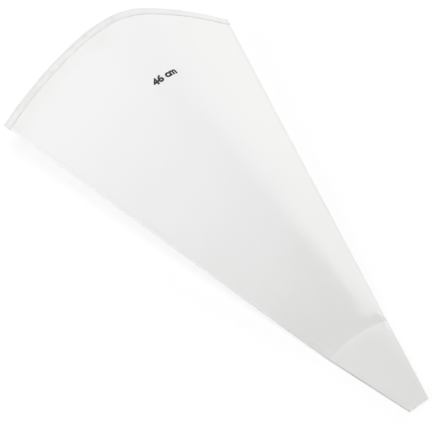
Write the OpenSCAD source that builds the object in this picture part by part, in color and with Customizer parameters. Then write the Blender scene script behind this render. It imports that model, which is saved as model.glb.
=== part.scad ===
// Reusable piping bag of coated cotton: two wedge panels joined along their sides, a folded and
// stitched band round the mouth, and a second layer of cloth at the tip.
// It lies on its back panel with the mouth part open, as an empty bag does on a bench.
// Frame: +X from the tip to the mouth, +Y across, +Z up. The origin is on the bench, under the middle.

/* [Cut of the cloth] */
// Length of a side edge, from the tip cut to the mouth
bag_length = 460; // [300:5:600]
// Angle between the two side edges with the bag pressed flat
wedge_angle = 33.4; // [26:0.2:38]
// Width across the cut tip with the bag pressed flat
tip_width = 21; // [16:1:40]
// How far the middle of the mouth's edge stands out past a true arc about the apex
mouth_bow = 6; // [0:1:20]
// Thickness of one layer of the coated cotton
cloth_t = 0.5; // [0.3:0.05:0.8]

/* [Way it lies] */
// How much the side edges draw in, in plan angle, where the cloth lifts beyond the tip's second layer
draw_in = 3.1; // [0:0.1:6]
// Angle at which the side edges climb from the bench
edge_climb = 4; // [2:0.25:8]
// Height of the front panel's crown above the side edges, at the mouth
crown_h = 57; // [25:1:90]
// Height to which the crown stays open between the tip's second layers
tip_crown_h = 6; // [5:0.5:10]
// Roundness of the crown: small for a sharp ridge, large for a plain arch
ridge_round = 0.12; // [0.05:0.01:1]
// Place of the ridge across the front, from -1 at the right edge to 1 at the left edge
ridge_at = -0.05; // [-0.3:0.05:0.3]
// Share of the back panel's width that lies flat on the bench
flat_share = 0.45; // [0.2:0.05:0.7]

/* [Tip] */
// Length of the tip's second layer, from the tip cut to its curved edge
patch_length = 77; // [50:1:120]

/* [Side seams] */
// Width of the lip where the panels are pressed together
seam_lip = 2; // [1:0.25:3]
// Width of the folded seam allowance inside the bag
seam_w = 6; // [4:0.5:7]

/* [Mouth band] */
// Width of the folded band
hem_w = 8; // [4:0.5:12]
// Thickness of the band outside the panel
hem_t = 0.5; // [0.3:0.05:1]
// Place across the front of the lap where the band's two ends meet, from -1 right to 1 left
lap_at = 0.5; // [-0.8:0.05:0.8]
// Length of the lap
lap_length = 9; // [5:1:20]

/* [Stitching] */
// Number of stitches across one panel's band
stitches = 60; // [40:2:90]
// Share of a stitch's pitch that its thread shows
stitch_share = 0.7; // [0.5:0.05:0.9]
// Thickness of the thread as it stands off the cloth
thread_t = 0.3; // [0.2:0.05:0.5]
// Width of the thread as it lies
thread_w = 0.5; // [0.3:0.05:0.8]
// Distance of the stitches from the band's inner edge
stitch_in = 1.4; // [1:0.1:3]

/* [Hidden] */
FRONT = 1;
BACK = -1;
half_wedge = wedge_angle / 2;
half_open = (wedge_angle - draw_in) / 2;
// Slant distances from the apex, where the two side edges would meet
tip_r = tip_width / 2 / sin(half_wedge);
tip_x = tip_width / 2 / tan(half_wedge);
patch_r = tip_r + patch_length;
mouth_r = tip_r + bag_length;
hem_r = mouth_r - hem_w;
stitch_r = hem_r + stitch_in;
lift_r = mouth_r - patch_r;
// The panels' lips hold two layers between them: the seam allowance, or the tip's second layers
stack_t = 4 * cloth_t;
// Two narrow stations at each side edge are the lip and the seam allowance
stations = stitches + 4;
lap_half = lap_length / 2;
origin_x = (tip_x + mouth_r + mouth_bow + hem_t) / 2;

function clamp01(v) = max(0, min(1, v));

// Half of the bag's width at a slant distance
function half_width(r) =
    min(r, patch_r) * sin(half_wedge) + max(0, r - patch_r) * sin(half_open);

// Place across the bag of the lip's inner edge and of the seam allowance's inner edge
function lip_s(r) = 1 - seam_lip / half_width(r);
function seam_s(r) = 1 - seam_w / half_width(r);

// Place across the bag of a station, from -1 at the right edge to 1 at the left edge
function station_s(i, r) =
    i == 0 ? -1
    : i == 1 ? -lip_s(r)
    : i == stations - 1 ? lip_s(r)
    : i == stations ? 1
    : seam_s(r) * (2 * (i - 2) / (stations - 4) - 1);

// Height of the front across the bag: a tent with a rounded ridge, 0 on the lips and 1 on the ridge
function arch(s, r) =
    let(
        across = max(-1, min(1, s / lip_s(r))),
        side = across > ridge_at ? 1 - ridge_at : 1 + ridge_at,
        out = (across - ridge_at) / side
    )
    (norm([1, ridge_round]) - norm([out, ridge_round])) / (norm([1, ridge_round]) - ridge_round);

// Height of the back across the bag: flat on the bench in the middle, 1 on the lips
function trough(s, r) = pow(clamp01((abs(s) / lip_s(r) - flat_share) / (1 - flat_share)), 2);

// The band lies on the bench too, so the back climbs by its thickness on the way to it
function band_seat(r) = hem_t * clamp01((r - patch_r) / (hem_r - patch_r));

// A point of the flat fan between the straight tip cut and the curved edge of the second layer
function fan(r, s) =
    let(
        a = s * half_wedge,
        cut = [tip_x, tip_x * tan(a)],
        arc = patch_r * [cos(a), sin(a)]
    )
    cut + (arc - cut) * (min(r, patch_r) - tip_r) / patch_length;

// Climb of a panel beyond the second layer, in height for each unit along the cloth
function climb(side, s, r) =
    side == FRONT
        ? sin(edge_climb) + (crown_h - tip_crown_h) / lift_r * arch(s, r)
        : sin(edge_climb) * trough(s, r);

// A point of a panel: r is the slant distance, s the place across, and depth the distance in from the
// panel's outer face. spread moves a point out past the side edge, for the band's corners.
function cloth(side, r, s, depth, spread = 0) =
    let(
        plan = fan(r, s),
        reach = max(0, r - patch_r) * (1 + mouth_bow / lift_r * (1 - s * s)),
        dy = sin(s * half_open) * cos(edge_climb),
        dz = climb(side, s, r),
        dx = sqrt(1 - dy * dy - dz * dz),
        base = side == FRONT ? stack_t + tip_crown_h * arch(s, r) : 0
    )
    [
        plan[0] + reach * dx - spread * sin(half_open) - origin_x,
        plan[1] + reach * dy + sign(s) * spread * cos(half_open),
        base + band_seat(r) + reach * dz - side * depth
    ];

function on_station(side, r, i, depth) = cloth(side, r, station_s(i, r), depth);

// Outline of a layer in [slant distance, depth] pairs, and the quads that cap its ends
function layer_outline(radii, top, bottom) = concat(
    [for (r = radii) [r, top]],
    [for (k = [len(radii) - 1 : -1 : 0]) [radii[k], bottom]]
);
function layer_caps(radii) =
    let(count = 2 * len(radii))
    [for (k = [0 : len(radii) - 2]) [k, k + 1, count - 2 - k, count - 1 - k]];

function reversed(list) = [for (k = [len(list) - 1 : -1 : 0]) list[k]];

// A quad of a loft as two triangles. Its diagonal runs the same way on both faces of a layer and on the
// band round it, so that they lie face to face.
function split(a, b, c, d, outward) = outward ? [[a, b, c], [a, c, d]] : [[a, b, d], [b, c, d]];

// A solid through sections that each repeat one outline, as an open strip or a closed ring
module loft(outline, sections, caps, ring = false, mirrored = false) {
    count = len(outline);
    total = len(sections);
    walls = [
        for (j = [0 : ring ? total - 1 : total - 2])
            for (k = [0 : count - 1])
                let(
                    here = j * count,
                    next = (j + 1) % total * count,
                    up = (k + 1) % count,
                    returning = ring && j >= total / 2,
                    outward = (outline[up][0] >= outline[k][0]) != returning
                )
                each split(here + k, next + k, next + up, here + up, outward)
    ];
    ends = ring ? [] : [
        for (cap = caps)
            each [cap, reversed([for (k = cap) (total - 1) * count + k])]
    ];
    faces = concat(walls, ends);
    polyhedron(
        points = [for (section = sections) each section],
        faces = mirrored ? [for (face = faces) reversed(face)] : faces,
        convexity = 6
    );
}

// A layer of cloth between two stations and two depths
module layer(side, radii, top, bottom, first = 0, last = stations) {
    outline = layer_outline(radii, top, bottom);
    loft(
        outline,
        [for (i = [first : last]) [for (p = outline) on_station(side, p[0], i, p[1])]],
        layer_caps(radii),
        mirrored = side == BACK
    );
}

module panel(side) {
    layer(side, [tip_r, patch_r, hem_r, mouth_r], 0, cloth_t);
}

module tip_patch(side) {
    layer(side, [tip_r, patch_r], cloth_t, 2 * cloth_t);
}

// The folded seam allowance lies on the back panel, between the second layers and the mouth
module seam(first, last) {
    layer(BACK, [patch_r, hem_r, mouth_r], cloth_t, 3 * cloth_t, first, last);
}

// The band is double where its two ends lap
function band_depth(side, i) =
    let(from_lap = abs(station_s(i, mouth_r) - lap_at) * half_width(mouth_r))
    side == FRONT && from_lap < lap_half ? 2 * hem_t : hem_t;

// Section of the band at a station: down the outside, over the mouth's edge and in to the panel's
// inner face. At the side edges it is mitred round the lip.
function band_section(outline, side, i) =
    let(mitre = i == 0 || i == stations ? 1 : 0)
    [
        for (p = outline)
            let(depth = p[1] < 0 ? -band_depth(side, i) : p[1])
            cloth(side, p[0], station_s(i, p[0]), depth, -mitre * depth)
    ];

module mouth_band() {
    outline = [
        [hem_r, -hem_t],
        [mouth_r + hem_t, -hem_t],
        [mouth_r + hem_t, cloth_t],
        [mouth_r, cloth_t],
        [mouth_r, 0],
        [hem_r, 0]
    ];
    round_mouth = concat(
        [for (i = [0 : stations]) band_section(outline, FRONT, i)],
        [for (i = [stations : -1 : 0]) band_section(outline, BACK, i)]
    );
    color("ghostwhite") loft(outline, round_mouth, [], ring = true);
}

// One stitch between two stations, standing off the surface at the two given depths
module stitch(side, i, from_depth, to_depth, stand) {
    outline = layer_outline([stitch_r - thread_w / 2, stitch_r + thread_w / 2], -stand, 0);
    gap = (1 - stitch_share) / 2;
    loft(
        outline,
        [
            for (t = [gap, 1 - gap])
                [
                    for (p = outline)
                        on_station(side, p[0], i, from_depth + p[1]) * (1 - t)
                        + on_station(side, p[0], i + 1, to_depth + p[1]) * t
                ]
        ],
        layer_caps([0, 1]),
        mirrored = side * stand < 0
    );
}

module outer_thread() {
    color("gainsboro")
        for (i = [2 : stations - 3])
            stitch(FRONT, i, -band_depth(FRONT, i), -band_depth(FRONT, i + 1), thread_t);
}

module inner_thread() {
    color("gainsboro")
        for (side = [FRONT, BACK])
            for (i = [2 : stations - 3])
                stitch(side, i, cloth_t, cloth_t, -thread_t);
}

module front_panel() {
    color("whitesmoke") panel(FRONT);
}

module back_panel() {
    color("whitesmoke") panel(BACK);
}

module left_seam() {
    color("silver") seam(stations - 2, stations);
}

module right_seam() {
    color("silver") seam(0, 2);
}

module front_tip_patch() {
    color("lightgray") tip_patch(FRONT);
}

module back_tip_patch() {
    color("lightgray") tip_patch(BACK);
}

front_panel();
back_panel();
left_seam();
right_seam();
front_tip_patch();
back_tip_patch();
mouth_band();
outer_thread();
inner_thread();
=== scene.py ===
from math import cos, pi, radians, sin, tan

import bmesh
import bpy
import numpy as np
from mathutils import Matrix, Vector


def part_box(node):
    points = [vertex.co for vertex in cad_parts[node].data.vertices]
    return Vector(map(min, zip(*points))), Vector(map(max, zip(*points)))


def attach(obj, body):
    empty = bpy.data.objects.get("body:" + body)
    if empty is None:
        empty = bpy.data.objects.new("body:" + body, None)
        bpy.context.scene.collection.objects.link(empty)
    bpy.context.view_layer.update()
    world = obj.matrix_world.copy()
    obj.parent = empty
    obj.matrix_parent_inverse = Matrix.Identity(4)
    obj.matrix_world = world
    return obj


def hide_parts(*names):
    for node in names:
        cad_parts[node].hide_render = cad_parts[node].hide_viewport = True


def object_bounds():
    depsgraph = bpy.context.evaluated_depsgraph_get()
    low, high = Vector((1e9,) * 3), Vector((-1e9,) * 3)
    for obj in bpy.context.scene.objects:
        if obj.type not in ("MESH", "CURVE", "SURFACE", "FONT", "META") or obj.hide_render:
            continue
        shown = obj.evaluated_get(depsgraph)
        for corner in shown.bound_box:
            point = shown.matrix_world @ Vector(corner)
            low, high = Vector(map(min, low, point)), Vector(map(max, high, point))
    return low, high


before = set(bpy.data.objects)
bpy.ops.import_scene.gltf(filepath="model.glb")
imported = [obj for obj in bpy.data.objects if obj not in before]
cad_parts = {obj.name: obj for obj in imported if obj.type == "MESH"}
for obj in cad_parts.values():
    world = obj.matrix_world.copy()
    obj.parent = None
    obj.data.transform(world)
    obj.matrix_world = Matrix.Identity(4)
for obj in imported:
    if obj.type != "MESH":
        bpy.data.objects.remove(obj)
cad_low, cad_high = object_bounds()

# ---------------------------------------------------------------------------------------------
# Sizes of the cut and of the way the bag lies, in metres, as the frame has them
# ---------------------------------------------------------------------------------------------
MM = 0.001
BAG_LENGTH = 460 * MM
HALF_WEDGE = radians(33.4) / 2
HALF_OPEN = radians(33.4 - 3.1) / 2
TIP_WIDTH = 21 * MM
MOUTH_BOW = 6 * MM
CLOTH = 0.5 * MM
STACK = 4 * CLOTH
EDGE_CLIMB = radians(4)
CROWN = 57 * MM
RIDGE_ROUND = 0.12
RIDGE_AT = -0.05
FLAT_SHARE = 0.45
PATCH_LENGTH = 77 * MM
# Flat lip along a side edge: of the back panel, and of the front panel, where the fold is sharper
SEAM_LIP = 2 * MM
FOLDED_LIP = 1 * MM
SEAM_WIDTH = 6 * MM
HEM = 8 * MM
HEM_CLOTH = 0.5 * MM
LAP_AT = 0.5
LAP_LENGTH = 9 * MM
STITCHES = 60
STITCH_SHARE = 0.7
STITCH_IN = 1.4 * MM
THREAD_WIDTH = 0.5 * MM
THREAD_HEIGHT = 0.3 * MM

TIP_R = TIP_WIDTH / 2 / sin(HALF_WEDGE)
TIP_X = TIP_WIDTH / 2 / tan(HALF_WEDGE)
PATCH_R = TIP_R + PATCH_LENGTH
MOUTH_R = TIP_R + BAG_LENGTH
HEM_R = MOUTH_R - HEM
STITCH_R = HEM_R + STITCH_IN
LIFT_R = MOUTH_R - PATCH_R
APEX_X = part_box("back_tip_patch")[0].x - TIP_X

FRONT = 1
BACK = -1

# The pressed tip stands open by this much. The folded side edges have this radius, and between the
# two panels they draw in by the first groove, or by the second along the tip.
TIP_CROWN = 1.6 * MM
FOLD_RADIUS = STACK / 2
FOLD_GROOVE = 0.16 * MM
TIP_GROOVE = 0.5 * MM

# How the cloth departs from straight lines: a quick rise beyond the stiff tip, a valley along the
# edge of the second layer, faces that sag half way and belly out at the mouth, and shallow waves
FOOT_SHARE = 0.09
FOOT_REACH = 22 * MM
VALLEY = 0.5 * MM
VALLEY_REACH = 7 * MM
LAYER_STEP = 0.75 * MM
SAG_LEFT = 1.5 * MM
SAG_RIGHT = 1.0 * MM
BELLY_LEFT = 0.5 * MM
BELLY_RIGHT = 1.8 * MM
MOUTH_RIDGE_DROP = 2.4 * MM
RIPPLE = 0.55 * MM
# A short pinch where the edge of the second layer meets the right side edge
PINCH = 0.5 * MM
PINCH_REACH = 2 * MM
# The ridge leaves the right end of the second layer's edge, runs along the bag at this distance from
# its middle, and swings to its place at the mouth. It is rounder near the tip than at the mouth.
RIDGE_LINE = -15 * MM
RIDGE_START = 15 * MM
RIDGE_BEND = 20 * MM
RIDGE_SWING = 150 * MM
TIP_ROUND_LEFT = 0.30
TIP_ROUND_RIGHT = 0.22
# Just beyond the second layer the faces stand up from their edges as a low pad, over this reach
PAD_LEFT = 0.75
PAD_RIGHT = 0.8
PAD_REACH = 45 * MM


# ---------------------------------------------------------------------------------------------
# Form of the cloth
# ---------------------------------------------------------------------------------------------
def ease(value, low=0.0, high=1.0):
    """0 below low, 1 above high, and a smooth step between them."""
    t = np.clip((value - low) / (high - low), 0, 1)
    return t * t * (3 - 2 * t)


def half_width(r):
    return np.minimum(r, PATCH_R) * sin(HALF_WEDGE) + np.maximum(0, r - PATCH_R) * sin(HALF_OPEN)


def ridge_place(r):
    start = RIDGE_START * np.exp(-np.maximum(0, r - PATCH_R) / RIDGE_BEND)
    widest = 0.72 + 0.18 * ease(r, PATCH_R - 25 * MM, PATCH_R)
    straight = np.maximum((RIDGE_LINE - start) / half_width(r), -widest)
    return straight + (RIDGE_AT - straight) * ease(r, MOUTH_R - RIDGE_SWING, MOUTH_R)


def out_of_ridge(s, r):
    """Place across the front, measured from the ridge: -1 and 1 on the lips, 0 on the ridge."""
    across = np.clip(s / (1 - FOLDED_LIP / half_width(r)), -1, 1)
    ridge = ridge_place(r)
    side = np.where(across > ridge, 1 - ridge, 1 + ridge)
    return (across - ridge) / side


def arch(s, r):
    """Height of the front across the bag: a tent with a rounded ridge and eased feet."""
    out = out_of_ridge(s, r)
    tip_round = np.where(out > 0, TIP_ROUND_LEFT, TIP_ROUND_RIGHT)
    round_here = RIDGE_ROUND + tip_round * np.clip((MOUTH_R - r) / LIFT_R, 0, 1) ** 2
    edge = np.hypot(1, round_here)
    height = (edge - np.hypot(out, round_here)) / (edge - round_here)
    pad = np.exp(-(((r - PATCH_R) / PAD_REACH) ** 2)) * ease(r, PATCH_R, PATCH_R + 6 * MM)
    flat_top = np.where(out > 0, 1 - np.abs(out) ** 6, 1 - np.abs(out) ** 2.5)
    height = height + pad * np.where(out > 0, PAD_LEFT, PAD_RIGHT) * (flat_top - height)
    soft = 0.02
    return (np.hypot(height, soft) - soft) / (np.hypot(1, soft) - soft)


def trough(s, r):
    """Height of the back across the bag: flat on the bench in the middle, 1 on the lips."""
    across = np.abs(s) / (1 - SEAM_LIP / half_width(r))
    return np.clip((across - FLAT_SHARE) / (1 - FLAT_SHARE), 0, 1) ** 2


def ripple(r, s):
    """Shallow waves of cloth that has been folded and used, none of them at the edges."""
    x, y = r / LIFT_R, s * r / LIFT_R
    waves = (
        np.cos(9.1 * x - 5.3 * y + 0.7)
        + 0.8 * np.cos(4.7 * x + 8.9 * y + 2.1)
        + 0.6 * np.cos(15.7 * x + 6.1 * y + 4.0)
        + 0.5 * np.cos(13.3 * x - 17.9 * y + 1.3)
    )
    return RIPPLE * waves / 2.9 * ease(r, PATCH_R, PATCH_R + 60 * MM) * (1 - s**2)


def skin(side, r, s):
    """Outer face of a panel: r is the slant distance from the apex, s the place across it."""
    r, s = np.broadcast_arrays(np.asarray(r, float), np.asarray(s, float))
    turn = s * HALF_WEDGE
    share = (np.minimum(r, PATCH_R) - TIP_R) / PATCH_LENGTH
    cut_y = TIP_X * np.tan(turn)
    x = TIP_X + (PATCH_R * np.cos(turn) - TIP_X) * share
    y = cut_y + (PATCH_R * np.sin(turn) - cut_y) * share

    beyond = np.maximum(0, r - PATCH_R)
    reach = beyond * (1 + MOUTH_BOW / LIFT_R * (1 - s * s))
    lifted = np.hypot(reach, 3 * MM) - 3 * MM
    seat = HEM_CLOTH * np.clip((r - PATCH_R) / (HEM_R - PATCH_R), 0, 1)
    from_edge = (1 - np.abs(s)) * half_width(r)
    fade = 0.4 + 0.6 * ease(from_edge, 3.5 * MM, 8 * MM)
    fade = fade * ease(from_edge, FOLD_RADIUS, 2.5 * MM)

    if side == FRONT:
        rise = (1 - FOOT_SHARE) * lifted / LIFT_R + FOOT_SHARE * (1 - np.exp(-lifted / FOOT_REACH))
        out = np.abs(out_of_ridge(s, r))
        left = s > ridge_place(r)
        share = lifted / LIFT_R
        sag = np.where(left, SAG_LEFT, SAG_RIGHT) * 4 * share * np.maximum(0, 1 - share)
        belly = np.where(left, BELLY_LEFT, BELLY_RIGHT) * share**3
        sag = (sag - belly) * 4 * out * (1 - out)
        sag = sag + MOUTH_RIDGE_DROP * share**3 * np.exp(-((out / 0.16) ** 2))
        dip = VALLEY * beyond / VALLEY_REACH * np.exp(1 - beyond / VALLEY_REACH)
        pinch = PINCH * np.exp(-(((r - PATCH_R - 1 * MM) / PINCH_REACH) ** 2)) * ease(-s, 0.55, 0.85)
        pinch = pinch * ease(from_edge, FOLD_RADIUS, 2.5 * MM)
        step = LAYER_STEP * ease(r, PATCH_R - 5.0 * MM, PATCH_R + 0.5 * MM)
        crown = TIP_CROWN * (0.12 + 0.88 * ease(r, TIP_R, PATCH_R)) + (CROWN - TIP_CROWN) * rise
        z = STACK + crown * arch(s, r) + lifted * sin(EDGE_CLIMB) - sag
        z = z - fade * (dip + step * np.exp(-beyond / (40 * MM))) - pinch + ripple(r, s)
        slope = sin(EDGE_CLIMB) + (CROWN - TIP_CROWN) / LIFT_R * arch(s, r)
    else:
        slope = sin(EDGE_CLIMB) * trough(s, r)
        z = lifted * slope

    sideways = np.sin(s * HALF_OPEN) * cos(EDGE_CLIMB)
    x = x + reach * np.sqrt(1 - sideways**2 - slope**2)
    y = y + reach * sideways
    return np.stack([APEX_X + x, y, z + seat], axis=-1)


def unit(vectors):
    return vectors / np.maximum(np.linalg.norm(vectors, axis=-1, keepdims=True), 1e-12)


def skin_normal(side, r, s):
    """Direction out of the bag at a point of a panel's outer face."""
    along = skin(side, r + 0.4 * MM, s) - skin(side, r - 0.4 * MM, s)
    across = skin(side, r, s + 0.002) - skin(side, r, s - 0.002)
    return side * unit(np.cross(along, across))


def side_fold(side, edge, r, turn):
    """The rounded fold along a side edge, from the panel's face at turn 0 to the seam at a right angle."""
    inner_s = edge * (1 - FOLD_RADIUS / half_width(r))
    face, other = skin(side, r, inner_s), skin(-side, r, inner_s)
    middle, up = (face + other) / 2, (face - other) / 2
    forward = skin(side, r + 1 * MM, inner_s) - skin(side, r - 1 * MM, inner_s)
    outward = side * edge * unit(np.cross(unit(up), unit(forward)))
    deep = FOLD_GROOVE + (TIP_GROOVE - FOLD_GROOVE) * (1 - ease(r, PATCH_R - 2 * MM, PATCH_R + 6 * MM))
    groove = deep * ease(turn, radians(50), radians(90))
    place = middle + outward * (FOLD_RADIUS - groove)[..., None] * np.sin(turn)[..., None]
    place = place + up * np.cos(turn)[..., None]
    normal = unit(outward * np.sin(turn)[..., None] + unit(up) * np.cos(turn)[..., None])
    return place, normal


def wrap(side, r, q, turn):
    """Outer face and its normal round a panel. q goes from -1 to 1 between the side folds, and turn
    is the angle round a fold, with the sign of its edge."""
    r, q, turn = np.broadcast_arrays(r, q, turn)
    s = q * (1 - FOLD_RADIUS / half_width(r))
    place, normal = skin(side, r, s), skin_normal(side, r, s)
    for edge in (-1, 1):
        folded, leaning = side_fold(side, edge, r, np.abs(turn))
        here = (turn * edge > 0)[..., None]
        place, normal = np.where(here, folded, place), np.where(here, leaning, normal)
    return place, normal, s


def flat_cut(r, s):
    """Where a point of the cloth lay in the flat cut: along the bag, across it, and the slant distance."""
    turn = s * HALF_WEDGE
    r, turn = np.broadcast_arrays(r, turn)
    return np.stack([r * np.cos(turn), r * np.sin(turn), r], axis=-1)


# ---------------------------------------------------------------------------------------------
# Meshes
# ---------------------------------------------------------------------------------------------
def make_piece(name, points, faces, cut, materials, material_of=None, crease=40):
    mesh = bpy.data.meshes.new(name)
    mesh.from_pydata([tuple(p) for p in points], [], faces)
    for material in materials:
        mesh.materials.append(material)
    if material_of is not None:
        mesh.polygons.foreach_set("material_index", np.asarray(material_of, np.int32))
    mesh.polygons.foreach_set("use_smooth", np.ones(len(faces), bool))
    layer = mesh.attributes.new("cut", "FLOAT_VECTOR", "POINT")
    layer.data.foreach_set("vector", np.asarray(cut, np.float32).ravel())
    mesh.update()
    mesh.set_sharp_from_angle(angle=radians(crease))
    piece = bpy.data.objects.new(name, mesh)
    bpy.context.scene.collection.objects.link(piece)
    return piece


def grid_faces(rows, columns, start=0, flip=False, ring=False):
    faces = []
    for i in range(rows - 1):
        for j in range(columns if ring else columns - 1):
            k = (j + 1) % columns
            face = (
                start + i * columns + j,
                start + i * columns + k,
                start + (i + 1) * columns + k,
                start + (i + 1) * columns + j,
            )
            faces.append(face[::-1] if flip else face)
    return faces


def slab(name, outer, inner, cut, materials, flip=False):
    """A layer of cloth: its outer face, its inner face and the cut edges between them."""
    rows, columns = outer.shape[:2]
    count = rows * columns
    top = grid_faces(rows, columns, 0, flip)
    under = grid_faces(rows, columns, count, not flip)
    sides = (
        list(range(0, columns)),
        list(range(columns - 1, count, columns)),
        list(range(count - 1, count - columns - 1, -1)),
        list(range(count - columns, -1, -columns)),
    )
    rims = []
    for side in sides:
        for a, b in zip(side, side[1:]):
            rim = (a, count + a, count + b, b)
            rims.append(rim[::-1] if flip else rim)
    points = np.concatenate([outer.reshape(-1, 3), inner.reshape(-1, 3)])
    material_of = [0] * len(top) + [1] * (len(under) + len(rims))
    if len(materials) == 1:
        material_of = None
    both = np.concatenate([cut.reshape(-1, 3), cut.reshape(-1, 3)])
    return make_piece(name, points, top + under + rims, both, materials, material_of)


# ---------------------------------------------------------------------------------------------
# Finishes
# ---------------------------------------------------------------------------------------------
class Wire:
    """A socket in a finish's node tree, with the arithmetic that the finishes are written in."""

    def __init__(self, tree, socket=None):
        self.tree = tree
        self.socket = socket

    def add(self, kind, settings=None, sockets=None, out=0):
        """Any node, from its type, its settings and the values or links of its sockets."""
        node = self.tree.nodes.new(kind)
        for name, value in (settings or {}).items():
            setattr(node, name, value)
        for name, value in (sockets or {}).items():
            if isinstance(value, Wire):
                self.tree.links.new(value.socket, node.inputs[name])
            else:
                node.inputs[name].default_value = value
        return Wire(self.tree, node.outputs[out] if len(node.outputs) else None)

    def math(self, operation, *values):
        return self.add("ShaderNodeMath", {"operation": operation}, dict(enumerate(values)))

    def __add__(self, other):
        return self.math("ADD", self, other)

    def __radd__(self, other):
        return self.math("ADD", other, self)

    def __sub__(self, other):
        return self.math("SUBTRACT", self, other)

    def __rsub__(self, other):
        return self.math("SUBTRACT", other, self)

    def __mul__(self, other):
        return self.math("MULTIPLY", self, other)

    def __rmul__(self, other):
        return self.math("MULTIPLY", other, self)

    def __truediv__(self, other):
        return self.math("DIVIDE", self, other)

    def __mod__(self, other):
        return self.math("FLOORED_MODULO", self, other)

    def __pow__(self, other):
        return self.math("POWER", self, other)

    def floor(self):
        return self.math("FLOOR", self)

    def sin(self):
        return self.math("SINE", self)

    def size(self):
        return self.math("ABSOLUTE", self)

    def ramp(self, low, high):
        """0 at low, 1 at high, eased between them."""
        settings = {"interpolation_type": "SMOOTHSTEP", "clamp": True}
        return self.add("ShaderNodeMapRange", settings, {0: self, 1: low, 2: high})

    def part(self, number):
        """One number of a vector."""
        return self.add("ShaderNodeSeparateXYZ", None, {0: self}, number)

    def stretched(self, by):
        """A vector multiplied part by part."""
        return self.add("ShaderNodeVectorMath", {"operation": "MULTIPLY"}, {0: self, 1: by})

    def noise(self, scale, detail=2.0):
        """Cloudy variation about a half, at a scale in waves for each metre."""
        return self.add("ShaderNodeTexNoise", None, {"Vector": self, "Scale": scale, "Detail": detail})

    def tint(self, low, high):
        """A colour between two others, by this mask."""
        sockets = {0: self, 6: (*low, 1), 7: (*high, 1)}
        return self.add("ShaderNodeMix", {"data_type": "RGBA"}, sockets, 2)

    def over(self, colour, other):
        """One colour where this mask is 0 and the other where it is 1."""
        return self.add("ShaderNodeMix", {"data_type": "RGBA"}, {0: self, 6: colour, 7: other}, 2)


def new_finish(name):
    material = bpy.data.materials.new(name)
    material.use_nodes = True
    tree = material.node_tree
    tree.nodes.clear()
    return material, Wire(tree)


def cut_place(wire):
    """The cloth's place in its flat cut: along the bag, across it, and the slant distance."""
    place = wire.add("ShaderNodeAttribute", {"attribute_name": "cut"}, None, 1)
    return place, place.part(0), place.part(1), place.part(2)


def plain_weave(along, across, pitch):
    """Height of a plain weave: warp over weft and weft over warp by turns."""
    weft, warp = along / pitch, across / pitch
    over = (weft.floor() + warp.floor()) % 2.0
    warp_thread = (warp * pi).sin().size()
    weft_thread = (weft * pi).sin().size()
    warp_height = warp_thread * (0.55 + 0.45 * weft_thread)
    weft_height = weft_thread * (0.55 + 0.45 * warp_thread)
    return over * warp_height + (1 - over) * weft_height


def close_finish(wire, material, colour, roughness, height, bump, distance, **fixed):
    """Joins a finish's colour, roughness and relief to its shader."""
    relief = wire.add(
        "ShaderNodeBump", None, {"Strength": bump, "Distance": distance, "Height": height}
    )
    sockets = {"Base Color": colour, "Roughness": roughness, "Normal": relief, **fixed}
    shader = wire.add("ShaderNodeBsdfPrincipled", None, sockets)
    wire.add("ShaderNodeOutputMaterial", None, {0: shader})
    return material


def cloth_shade_and_tone(slant, sideways):
    """How much darker the cloth is painted, about 0 where it is clean and 1 at its greyer colour. Most of
    it
    is painted shade: darker towards the tip, for light that falls off there, over the left just beyond the
    second layer, and in the valley beyond that layer's edge, whose rim gets a painted highlight. It is
    also a little darker near the band and along both side edges. With it, how far a point is on the right
    face, in the painted contact shadow along the left edge of the tip, and in the painted highlight on the
    fold of the left edge beyond it."""
    edge = sin(HALF_WEDGE)
    beyond = slant.ramp(PATCH_R - 1.5 * MM, PATCH_R + 1 * MM)
    to_right = 1 - sideways.ramp(-0.24, -0.05)
    right_face = 1 - sideways.ramp(-0.19, -0.10)
    left_half = sideways.ramp(-0.02, 0.04)

    # Painted shade: darker towards the tip, for light that falls off there, and less on the right face
    # beyond the second layer.
    tip_end_shade = (1 - slant.ramp(PATCH_R - 30 * MM, MOUTH_R - 155 * MM)) * (1 - 1.2 * beyond * right_face)
    # Painted shade over the left of the cloth just beyond the second layer.
    left_beyond_patch_shade = beyond * (1 - slant.ramp(PATCH_R, PATCH_R + 75 * MM)) * sideways.ramp(-0.16, 0.04)
    # Painted shade in the valley just beyond the second layer's edge, below the ridge and more to the
    # right.
    below_ridge = PATCH_R + (1 + sideways / edge) * (35 * MM)
    valley_shade = beyond * (1 - (slant - below_ridge).ramp(0.0, 4 * MM))
    valley_shade = valley_shade * (1 - slant.ramp(PATCH_R + 2 * MM, PATCH_R + 14 * MM)) * (0.4 + to_right * 1.1)
    # Painted highlight on the rim just inside the second layer's edge, more to the right.
    rim = slant.ramp(PATCH_R - 8 * MM, PATCH_R - 2 * MM) * (1 - beyond) * (0.15 + to_right * 0.35)
    rim = rim + slant.ramp(PATCH_R - 22 * MM, PATCH_R - 4 * MM) * (1 - beyond) * to_right * 0.22
    # Darker near the band, more on its left half.
    by_band = slant.ramp(MOUTH_R - 45 * MM, HEM_R) * (0.1 + 0.35 * left_half)
    # Darker along both side edges.
    near_side_edges = sideways.size().ramp(edge * 0.965, edge)
    # Painted contact shadow along the left edge of the tip.
    tip_edge_shadow = sideways.ramp(edge * 0.945, edge * 0.985)
    tip_edge_shadow = tip_edge_shadow * (1 - slant.ramp(PATCH_R - 25 * MM, PATCH_R + 20 * MM))
    # Painted highlight on the fold of the left edge beyond the second layer.
    left_fold_highlight = sideways.ramp(edge * 0.983, edge * 0.992)
    left_fold_highlight = left_fold_highlight * slant.ramp(PATCH_R + 30 * MM, PATCH_R + 110 * MM)
    shade_and_grey = tip_end_shade * 0.62 + left_beyond_patch_shade * 0.45 + valley_shade + by_band + near_side_edges * 0.2
    return shade_and_grey - rim, right_face, tip_edge_shadow, left_fold_highlight


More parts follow.
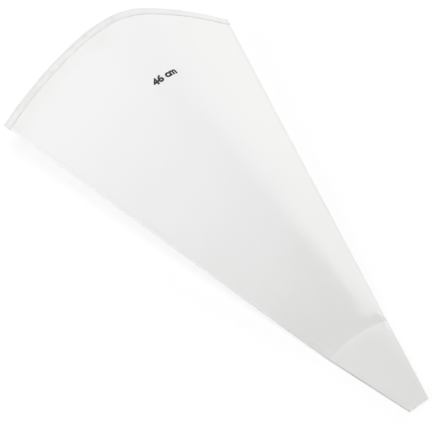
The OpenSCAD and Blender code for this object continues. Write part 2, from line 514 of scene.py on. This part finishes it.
def cotton(name, clean, greyer, gloss, bump):
    """Woven cotton with a coating: slubs, faint clouds, painted shade and highlights, and painted shade
    between the threads.
    """
    material, wire = new_finish(name)
    place, along, across, slant = cut_place(wire)
    height = plain_weave(along, across, WEAVE)
    slubs = place.stretched((30, 900, 0)).noise(1.0, 2.0)
    clouds = place.noise(14.0, 3.0)
    fine = place.noise(900.0, 1.0)
    shade_and_grey, right_face, tip_edge_shadow, left_fold_highlight = cloth_shade_and_tone(slant, across / slant)
    mottle = (clouds - 0.5) * 0.5 + (slubs - 0.5) * 0.28 + shade_and_grey
    warm = (clean[0], clean[1], clean[2] * 0.985)
    colour = mottle.ramp(0.0, 1.0).over(right_face.tint(clean, warm), (*greyer, 1))
    # The tip's left edge gets a painted contact shadow in a darker grey, and the left fold a painted
    # highlight.
    edge_shadow_grey = tuple(0.8 * c for c in greyer)
    colour = left_fold_highlight.over(tip_edge_shadow.over(colour, (*edge_shadow_grey, 1)), (*FOLD_HIGHLIGHT, 1))
    # Painted shade in the hollows between the threads.
    shade_between_threads = tuple(0.86 * c for c in greyer)
    colour = ((1 - height) * 0.16).over(colour, (*shade_between_threads, 1))
    roughness = gloss + 0.12 * (fine - 0.5) + 0.08 * (clouds - 0.5)
    relief = height + 0.5 * slubs + 0.25 * fine
    return close_finish(
        wire, material, colour, roughness, relief, bump, 0.12 * MM, **{"Specular IOR Level": 0.3}
    )


# Pitch of the threads
WEAVE = 0.62 * MM
BAND_WEAVE = 0.5 * MM
# Colours of the outside: clean; greyer, which also carries painted shade; and the pale of a painted
# highlight along the left fold
WHITE = (0.889, 0.889, 0.888)
CREAM = (0.795, 0.794, 0.779)
FOLD_HIGHLIGHT = (0.94, 0.94, 0.935)
outer_cotton = cotton("cotton_outside", WHITE, CREAM, 0.62, 0.35)
inner_cotton = cotton("cotton_coated_inside", (0.866, 0.868, 0.866), (0.835, 0.835, 0.825), 0.34, 0.16)
seam_cotton = cotton("seam_cloth", (0.846, 0.846, 0.841), (0.815, 0.812, 0.795), 0.7, 0.4)
tip_cotton = cotton("tip_second_layer", (0.856, 0.856, 0.851), (0.826, 0.823, 0.80), 0.4, 0.2)


def band_finish():
    """The band's cloth: a finer weave, mottled, grey along its rim and darker on its left, with a painted
    shadow along its inner edge where it steps down to the panel.
    """
    material, wire = new_finish("band_cloth")
    place, along, across, slant = cut_place(wire)
    height = plain_weave(along, across, BAND_WEAVE)
    clouds = place.noise(60.0, 2.0)
    fine = place.noise(1100.0, 1.0)
    patchy = place.noise(170.0, 1.0)
    left = (across / slant).ramp(-0.06, 0.0)
    corner = (across / slant).size().ramp(0.235, 0.275)
    # Painted shadow along the inner edge, where the band steps down to the panel, stronger on the right
    # and near the corners.
    step_shadow = 1 - slant.ramp(HEM_R + 0.1 * MM, HEM_R + 0.9 * MM)
    outer_edge = slant.ramp(MOUTH_R - 3.6 * MM, MOUTH_R - 1.6 * MM)
    shade_and_grey = (clouds - 0.5) * 0.5 + (patchy - 0.5) * 0.4 + outer_edge * 0.12 + left * 0.2
    shade_and_grey = shade_and_grey + step_shadow * ((1 - left) * 0.75 + corner * 0.4)
    colour = shade_and_grey.ramp(0.0, 1.0).tint((0.845, 0.845, 0.840), (0.60, 0.60, 0.585))
    roughness = 0.66 + 0.14 * (fine - 0.5)
    relief = height + 0.4 * fine
    return close_finish(
        wire, material, colour, roughness, relief, 0.35, 0.1 * MM, **{"Specular IOR Level": 0.25}
    )


def thread_finish():
    """Twisted cotton thread: slanting plies along each stitch, painted darker between them as shade."""
    material, wire = new_finish("sewing_thread")
    place, along, _, turn = cut_place(wire)
    ply = ((along / (0.55 * MM) + turn * 2.0) * (2 * pi)).sin() * 0.5 + 0.5
    fuzz = place.noise(2500.0, 2.0)
    # The thread is painted darker between its plies, as shade.
    colour = (ply * 0.7 + fuzz * 0.3).tint((0.66, 0.66, 0.645), (0.86, 0.86, 0.85))
    roughness = 0.6 + 0.2 * (fuzz - 0.5)
    return close_finish(
        wire, material, colour, roughness, ply + 0.4 * fuzz, 0.5, 0.05 * MM, **{"Specular IOR Level": 0.4}
    )


def ink_finish():
    """Printed black ink, thin where the weave shows through it."""
    material, wire = new_finish("printing_ink")
    place, along, across, _ = cut_place(wire)
    height = plain_weave(along, across, WEAVE)
    patchy = place.noise(500.0, 3.0)
    thin = (patchy * 0.7 + (1 - height) * 0.35).ramp(0.62, 0.95)
    colour = thin.tint((0.012, 0.012, 0.013), (0.09, 0.09, 0.092))
    roughness = 0.5 + 0.2 * (patchy - 0.5)
    return close_finish(
        wire, material, colour, roughness, height + 0.3 * patchy, 0.3, 0.1 * MM,
        **{"Specular IOR Level": 0.3},
    )


band_cloth = band_finish()
thread = thread_finish()
ink = ink_finish()


# ---------------------------------------------------------------------------------------------
# Panels
# ---------------------------------------------------------------------------------------------
FOLD_TURNS = np.radians([15, 30, 45, 60, 75, 90])
# A quarter turn round a fold takes up about one fold radius of the cloth's width
FOLD_SHARE = 0.64


def across_the_panel():
    """Places across a panel and round its two side folds, as q and turn."""
    near_edge = 1 - np.array([0.004, 0.009, 0.016, 0.025])
    q = np.unique(np.concatenate([np.linspace(-1, 1, 113), near_edge, -near_edge]))
    q = np.concatenate([-np.ones(len(FOLD_TURNS)), q, np.ones(len(FOLD_TURNS))])
    turn = np.zeros(len(q))
    turn[: len(FOLD_TURNS)] = -FOLD_TURNS[::-1]
    turn[-len(FOLD_TURNS) :] = FOLD_TURNS
    return q, turn


def along_the_panel():
    return np.unique(
        np.concatenate(
            [
                np.linspace(TIP_R, PATCH_R - 6 * MM, 26),
                np.linspace(PATCH_R - 6 * MM, PATCH_R + 12 * MM, 37),
                np.linspace(PATCH_R + 12 * MM, HEM_R, 130),
                np.linspace(HEM_R, MOUTH_R, 5),
            ]
        )
    )


def layer_of(side, r, q, turn, top, bottom):
    """A layer of a panel between two depths in from its outer face."""
    r = np.asarray(r)[:, None]
    face, normal, s = wrap(side, r, q[None, :], turn[None, :])
    s = s + turn[None, :] * FOLD_RADIUS / half_width(r) * FOLD_SHARE
    return face - normal * top, face - normal * bottom, flat_cut(r, s)


def make_panel(name, side):
    q, turn = across_the_panel()
    outer, inner, cut = layer_of(side, along_the_panel(), q, turn, 0.0, CLOTH)
    return slab(name, outer, inner, cut, [outer_cotton, inner_cotton], flip=side == FRONT)


front_panel = make_panel("front_panel_cloth", FRONT)
back_panel = make_panel("back_panel_cloth", BACK)


# ---------------------------------------------------------------------------------------------
# Second layers at the tip
# ---------------------------------------------------------------------------------------------
def make_tip_layer(name, side):
    q = np.linspace(-1, 1, 61)
    r = np.linspace(TIP_R, PATCH_R, 60)
    gap = 0.01 * MM
    outer, inner, cut = layer_of(side, r, q, np.zeros(len(q)), CLOTH + gap, 2 * CLOTH - gap)
    return slab(name, outer, inner, cut, [tip_cotton], flip=side == FRONT)


front_tip_layer = make_tip_layer("front_tip_second_layer", FRONT)
back_tip_layer = make_tip_layer("back_tip_second_layer", BACK)


# ---------------------------------------------------------------------------------------------
# Folded seam allowances inside the side edges
# ---------------------------------------------------------------------------------------------
def make_seam(name, edge):
    """A strip folded double: out from the side edge on the back panel, round its fold, and back."""
    r = np.concatenate([np.linspace(PATCH_R + 0.5 * MM, HEM_R, 150), np.linspace(HEM_R, MOUTH_R, 4)[1:]])
    start, end, layer = 1.15 * MM, SEAM_WIDTH, 0.47 * MM
    fold = end - CLOTH
    lower = [(start + (fold - start) * t, CLOTH * 0.5) for t in np.linspace(0, 1, 6)]
    bend = [
        (fold + CLOTH * 0.5 * sin(a), CLOTH * (1 - 0.5 * cos(a))) for a in np.linspace(0, pi, 7)[1:-1]
    ]
    upper = [(start + (fold - start) * t, CLOTH * 1.5) for t in np.linspace(1, 0, 6)]
    path = np.array(lower + bend + upper)
    step = np.gradient(path, axis=0)
    beside = unit(np.stack([step[:, 1], -step[:, 0]], axis=-1)) * layer / 2
    wave = 0.12 * MM * np.sin(r / (17 * MM))[:, None] + 0.1 * MM * np.sin(r / (6.1 * MM) + 2)[:, None]
    pressed = 1 - 0.45 * (1 - ease(r, PATCH_R, PATCH_R + 30 * MM))[:, None]
    sheets = []
    for line in (path + beside, path - beside):
        inward = line[None, :, 0] + wave * (line[None, :, 0] / end)
        s = edge * (1 - inward / half_width(r)[:, None])
        face, normal = skin(BACK, r[:, None], s), skin_normal(BACK, r[:, None], s)
        depth = CLOTH + 0.01 * MM + pressed * line[None, :, 1]
        sheets.append(face - normal * depth[..., None])
    s = edge * (1 - path[None, :, 0] / half_width(r)[:, None])
    return slab(name, sheets[0], sheets[1], flat_cut(r[:, None], s), [seam_cotton], flip=edge > 0)


left_seam = make_seam("left_seam_fold", 1)
right_seam = make_seam("right_seam_fold", -1)


# ---------------------------------------------------------------------------------------------
# Band round the mouth, and its stitching
# ---------------------------------------------------------------------------------------------
def stitch_ends():
    """Places across the mouth where the needle went through."""
    seam_s = 1 - SEAM_WIDTH / half_width(STITCH_R)
    return seam_s * np.linspace(-1, 1, STITCHES + 1)


def band_lift(side, r, s):
    """Thickness of the band outside the panel: double on the lap, drawn in at the needle holes, and
    a little uneven, as a sewn hem is."""
    from_lap = np.abs(s - LAP_AT) * half_width(MOUTH_R)
    doubled = (1 - ease(from_lap, LAP_LENGTH / 2 - 0.35 * MM, LAP_LENGTH / 2)) * (side == FRONT)
    seam_s = 1 - SEAM_WIDTH / half_width(STITCH_R)
    beat = (s / seam_s + 1) / 2 * STITCHES
    hole = np.exp(-(((beat - np.round(beat)) / 0.16) ** 2)) * (np.abs(s) <= seam_s * 1.001)
    line = np.exp(-(((r - STITCH_R) / (0.8 * MM)) ** 2))
    uneven = 0.05 * np.sin(s * 61 + 1) + 0.04 * np.sin(s * 143 + 2) + 0.03 * np.sin(s * 37)
    puff = 0.22 * np.sin(np.clip((r - STITCH_R) / (MOUTH_R - STITCH_R), 0, 1) * pi)
    return HEM_CLOTH * (1 + doubled + uneven + puff - line * (0.22 + 0.22 * hole))


def band_section():
    """Points of the band's section as slant distance and height off the panel's outer face."""
    edge_round = 0.22 * MM
    outline = []
    for a in np.linspace(0, pi / 2, 5):
        outline.append((HEM_R + edge_round * (1 - cos(a)), sin(a)))
    for t in np.linspace(0, 1, 12)[1:]:
        outline.append((HEM_R + edge_round + (HEM - edge_round) * t, 1.0))
    return outline


def make_band():
    fine = np.linspace(-1, 1, STITCHES * 8 + 1)
    turns = np.radians(np.linspace(0, 90, 8)[1:])
    ring = [(FRONT, q, 0.0) for q in fine]
    ring += [(FRONT, 1.0, t) for t in turns] + [(BACK, 1.0, t) for t in turns[::-1][1:]]
    ring += [(BACK, q, 0.0) for q in fine[::-1]]
    ring += [(BACK, -1.0, -t) for t in turns] + [(FRONT, -1.0, -t) for t in turns[::-1][1:]]
    side = np.array([w[0] for w in ring])
    q = np.array([w[1] for w in ring])
    turn = np.array([w[2] for w in ring])

    legs = band_section()
    over_edge = np.linspace(0, pi, 9)[1:]
    rows, cuts = [], []

    def place(r, height):
        points, s_here = np.zeros((len(ring), 3)), np.zeros(len(ring))
        for which in (FRONT, BACK):
            pick = side == which
            face, normal, s = wrap(which, r, q[pick], turn[pick])
            lift = height(which, s) if callable(height) else height
            points[pick] = face + normal * np.broadcast_to(lift, s.shape)[:, None]
            s_here[pick] = s
        rows.append(points)
        cuts.append(flat_cut(np.full(len(ring), r), s_here))

    for r, share in legs:
        place(r, lambda which, s, r=r, share=share: share * band_lift(which, r, s))
    for a in over_edge:
        r = MOUTH_R + HEM_CLOTH * sin(a)

        def height(which, s, a=a):
            top = band_lift(which, MOUTH_R, s)
            return (top - CLOTH) / 2 + (top + CLOTH) / 2 * cos(a)

        place(r, height)
    place(MOUTH_R, -CLOTH * 0.5)
    place(MOUTH_R, 0.0)
    for r in np.linspace(MOUTH_R, HEM_R, 5)[1:-1]:
        place(r, 0.0)

    rows, cuts = np.array(rows), np.array(cuts)
    count, columns = rows.shape[:2]
    faces = []
    for i in range(count):
        for j in range(columns):
            k, n = (j + 1) % columns, (i + 1) % count
            faces.append((i * columns + j, n * columns + j, n * columns + k, i * columns + k))
    return make_piece(
        "mouth_band_hem", rows.reshape(-1, 3), faces, cuts.reshape(-1, 3), [band_cloth], crease=50
    )


mouth_band = make_band()


def make_stitches(name, runs):
    """Each stitch is a flattened thread that rises from one needle hole and goes down the next."""
    rings, sides = 11, 10
    # In the finish's own space the stitches lie end to end and the rows side by side
    stitch_length, stitches_apart, rows_apart = 3.3 * MM, 10.7 * MM, 10 * MM
    ends = stitch_ends()
    gap = (1 - STITCH_SHARE) / 2
    points, faces, cut = [], [], []
    loops = np.linspace(0, 2 * pi, sides, endpoint=False)
    for side, base, outward in runs:
        for number, (a, b) in enumerate(zip(ends, ends[1:])):
            t = np.linspace(0, 1, rings)
            s = a + (b - a) * (gap + (1 - 2 * gap) * t)
            q = s / (1 - FOLD_RADIUS / half_width(STITCH_R))
            wobble = 0.09 * MM * np.sin(number * 2.3 + 0.5) * np.sin(pi * t)
            face, normal, _ = wrap(side, STITCH_R + wobble, q, np.zeros(rings))
            height = base(side, s) + outward * (-0.16 * MM + 0.27 * MM * np.sin(pi * t) ** 0.45)
            centre = face + normal * height[:, None]
            along = unit(np.gradient(centre, axis=0))
            beside = unit(np.cross(normal, along))
            up = unit(np.cross(along, beside))
            taper = 0.45 + 0.55 * np.sin(pi * np.clip(t, 0.06, 0.94)) ** 0.4
            start = len(points)
            for i in range(rings):
                for loop in loops:
                    wide = beside[i] * (THREAD_WIDTH / 2 * cos(loop) * taper[i])
                    tall = up[i] * (THREAD_HEIGHT / 2 * sin(loop) * taper[i])
                    points.append(centre[i] + wide + tall)
                    along_thread = t[i] * stitch_length + number * stitches_apart
                    cut.append((along_thread, side * rows_apart, loop / (2 * pi)))
            faces += grid_faces(rings, sides, start, ring=True)
            faces.append(tuple(start + j for j in reversed(range(sides))))
            faces.append(tuple(start + (rings - 1) * sides + j for j in range(sides)))
    return make_piece(name, points, faces, cut, [thread], crease=75)


outer_thread = make_stitches(
    "outer_stitching", [(FRONT, lambda side, s: band_lift(side, STITCH_R, s), 1)]
)
inner_thread = make_stitches(
    "inner_stitching",
    [(FRONT, lambda side, s: -CLOTH + 0 * s, -1), (BACK, lambda side, s: -CLOTH + 0 * s, -1)],
)


# ---------------------------------------------------------------------------------------------
# Printed size: the bag's length in centimetres. The rest of the front carries no print.
# ---------------------------------------------------------------------------------------------
MARK_R = 411 * MM
MARK_S = -0.078
MARK_HEIGHT = 7.2 * MM
MARK_TURN = radians(6)


def make_mark():
    letters = bpy.data.curves.new("size_in_centimetres", "FONT")
    letters.body = "46 cm"
    letters.size = MARK_HEIGHT / 0.70
    letters.align_x = "CENTER"
    letters.align_y = "CENTER"
    letters.offset = 0.0005
    letters.resolution_u = 4
    holder = bpy.data.objects.new("size_letters", letters)
    bpy.context.scene.collection.objects.link(holder)
    bpy.context.view_layer.update()
    mesh = bpy.data.meshes.new_from_object(holder.evaluated_get(bpy.context.evaluated_depsgraph_get()))
    bpy.data.objects.remove(holder)

    shape = bmesh.new()
    shape.from_mesh(mesh)
    bmesh.ops.remove_doubles(shape, verts=shape.verts, dist=0.02 * MM)
    bmesh.ops.triangulate(shape, faces=shape.faces)
    for _ in range(5):
        long_edges = [e for e in shape.edges if e.calc_length() > 0.9 * MM]
        if not long_edges:
            break
        bmesh.ops.subdivide_edges(shape, edges=long_edges, cuts=1)
        bmesh.ops.triangulate(shape, faces=shape.faces)
    flat = np.array([v.co[:2] for v in shape.verts])
    faces = [tuple(v.index for v in f.verts) for f in shape.faces]
    shape.free()
    bpy.data.meshes.remove(mesh)

    # The letters read from the right edge's side, with their feet towards the tip
    right = -flat[:, 0] * cos(MARK_TURN) + flat[:, 1] * sin(MARK_TURN)
    up = flat[:, 0] * sin(MARK_TURN) + flat[:, 1] * cos(MARK_TURN)
    r = MARK_R + up
    s = MARK_S + right / half_width(MARK_R)
    points = skin(FRONT, r, s) + skin_normal(FRONT, r, s) * 0.06 * MM
    return make_piece("size_mark", points, faces, flat_cut(r, s), [ink])


size_mark = make_mark()


# ---------------------------------------------------------------------------------------------
# Bench, light and camera
# ---------------------------------------------------------------------------------------------
def camera_ray(wire):
    """1 for what the camera, a reflection or a glass surface looks at, and 0 for other light."""
    kinds = ("Is Camera Ray", "Is Glossy Ray", "Is Transmission Ray")
    straight, mirrored, through = [wire.add("ShaderNodeLightPath", None, None, kind) for kind in kinds]
    return wire.math("MAXIMUM", straight, wire.math("MAXIMUM", mirrored, through))


def make_bench():
    top = cad_low.z - BENCH_BELOW
    corners = [(-1, -1), (1, -1), (1, 1), (-1, 1)]
    points = [(BENCH_HALF * x, BENCH_HALF * y, top) for x, y in corners]
    mesh = bpy.data.meshes.new("bench")
    mesh.from_pydata(points, [], [(0, 1, 2, 3)])
    bench = bpy.data.objects.new("bench", mesh)
    bpy.context.scene.collection.objects.link(bench)
    material, wire = new_finish("white_bench")
    place = wire.add("ShaderNodeTexCoord", None, None, 3)
    white = place.noise(30.0, 2.0).tint((0.80, 0.80, 0.80), (0.82, 0.82, 0.82))
    from_middle = wire.add("ShaderNodeVectorMath", {"operation": "LENGTH"}, {0: place}, 1)
    # The glow is dimmer near the bag: a painted shade round it that widens its shadow.
    paler = from_middle.ramp(BENCH_PALER_FROM, BENCH_PALER_TO).tint((BENCH_NEAR,) * 3, (1, 1, 1))
    shaded = (BENCH_SHADE * 0.81,) * 3
    seen = camera_ray(wire)
    board = wire.add("ShaderNodeBsdfDiffuse", None, {"Color": seen.over(white, (*shaded, 1))})
    colour = seen.over((0, 0, 0, 1), paler)
    glow = wire.add("ShaderNodeEmission", None, {"Color": colour, "Strength": BENCH_GLOW})
    both = wire.add("ShaderNodeAddShader", None, {0: board, 1: glow})
    wire.add("ShaderNodeOutputMaterial", None, {0: both})
    mesh.materials.append(material)
    return bench


# The bench lies this far below the bag and reaches this far from the middle
BENCH_BELOW = 0.3 * MM
BENCH_HALF = 0.55
# The bench is lit plainly for other surfaces; the camera sees it paler, with a softer shadow, and
# palest away from the bag: its glow is dimmer near the bag, a painted shade that widens the bag's shadow
BENCH_GLOW = 0.87
BENCH_NEAR = 0.90
BENCH_SHADE = 0.30
BENCH_PALER_FROM = 0.27
BENCH_PALER_TO = 0.40
SKY = 0.12
# Each lamp: its name, where it stands, where it looks, its width and height, and its power
LAMPS = [
    ("panel_left", (0.30, 0.75, 0.45), (0.1, 0.0, 0.0), (0.8, 0.5), 3.9),
    ("panel_low_right", (0.10, -0.95, 0.27), (0.1, 0.0, 0.0), (0.9, 0.35), 5.1),
    ("panel_over_mouth", (0.25, 0.0, 0.80), (0.2, 0.0, 0.0), (0.6, 0.6), 3.2),
    ("panel_before_tip", (-0.95, 0.0, 0.35), (0.0, 0.0, 0.0), (0.8, 0.4), 4.2),
]

make_bench()

world = bpy.data.worlds.new("studio")
bpy.context.scene.world = world
world.use_nodes = True
world.node_tree.nodes.clear()
sky = Wire(world.node_tree)
seen = camera_ray(sky)
backdrop = sky.add(
    "ShaderNodeBackground", None, {"Color": (1, 1, 1, 1), "Strength": seen + (1 - seen) * SKY}
)
sky.add("ShaderNodeOutputWorld", None, {0: backdrop})

for name, stands, looks, panel_size, power in LAMPS:
    light = bpy.data.lights.new(name, "AREA")
    light.shape = "RECTANGLE"
    light.size, light.size_y = panel_size
    light.energy = power
    lamp = bpy.data.objects.new(name, light)
    lamp.location = stands
    lamp.rotation_mode = "QUATERNION"
    lamp.rotation_quaternion = (Vector(stands) - Vector(looks)).to_track_quat("Z", "Y")
    bpy.context.scene.collection.objects.link(lamp)

# Where the camera looks, from the middle of the bag, which way it stands from there, and how far
LOOKS_AT = (17.8 * MM, 19.0 * MM)
STANDS_TOWARDS = (-0.5053, 0.3623, 0.7832)
DISTANCE = 0.8858
LENS = 79.73

middle = (cad_low + cad_high) / 2
target = Vector((middle.x + LOOKS_AT[0], middle.y + LOOKS_AT[1], 0))
back = Vector(STANDS_TOWARDS).normalized()
view = bpy.data.cameras.new("view")
view.lens = LENS
view.sensor_width = 36
camera = bpy.data.objects.new("view", view)
camera.location = target + back * DISTANCE
camera.rotation_mode = "QUATERNION"
camera.rotation_quaternion = back.to_track_quat("Z", "Y")
view.clip_start, view.clip_end = 0.05, 20
bpy.context.scene.collection.objects.link(camera)
bpy.context.scene.camera = camera
bpy.context.scene.view_settings.view_transform = "Standard"

# ---------------------------------------------------------------------------------------------
# Which piece stands for which part of the frame
# ---------------------------------------------------------------------------------------------
STANDS_FOR = [
    (front_panel, "front_panel", "coated_cotton"),
    (back_panel, "back_panel", "coated_cotton"),
    (left_seam, "left_seam", "seam_cloth"),
    (right_seam, "right_seam", "seam_cloth"),
    (front_tip_layer, "front_tip_patch", "tip_cloth"),
    (back_tip_layer, "back_tip_patch", "tip_cloth"),
    (mouth_band, "mouth_band", "band_cloth"),
    (outer_thread, "outer_thread", "sewing_thread"),
    (inner_thread, "inner_thread", "sewing_thread"),
]
for piece, node, material_slot in STANDS_FOR:
    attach(piece, "root")
    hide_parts(node)
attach(size_mark, "root")


def wedge_area(r, bow=0.0):
    """Area of the flat cut from the tip out to an arc about the apex that bows out in its middle."""
    sector = HALF_WEDGE * r**2 - TIP_X**2 * tan(HALF_WEDGE)
    return sector + 2 * HALF_WEDGE * r * bow * 2 / 3


PANEL_AREA = wedge_area(MOUTH_R, MOUTH_BOW)
PATCH_AREA = wedge_area(PATCH_R)
panel_flat = (2 * MOUTH_R * sin(HALF_WEDGE), BAG_LENGTH + MOUTH_BOW)
patch_flat = (2 * PATCH_R * sin(HALF_WEDGE), PATCH_R - TIP_X)
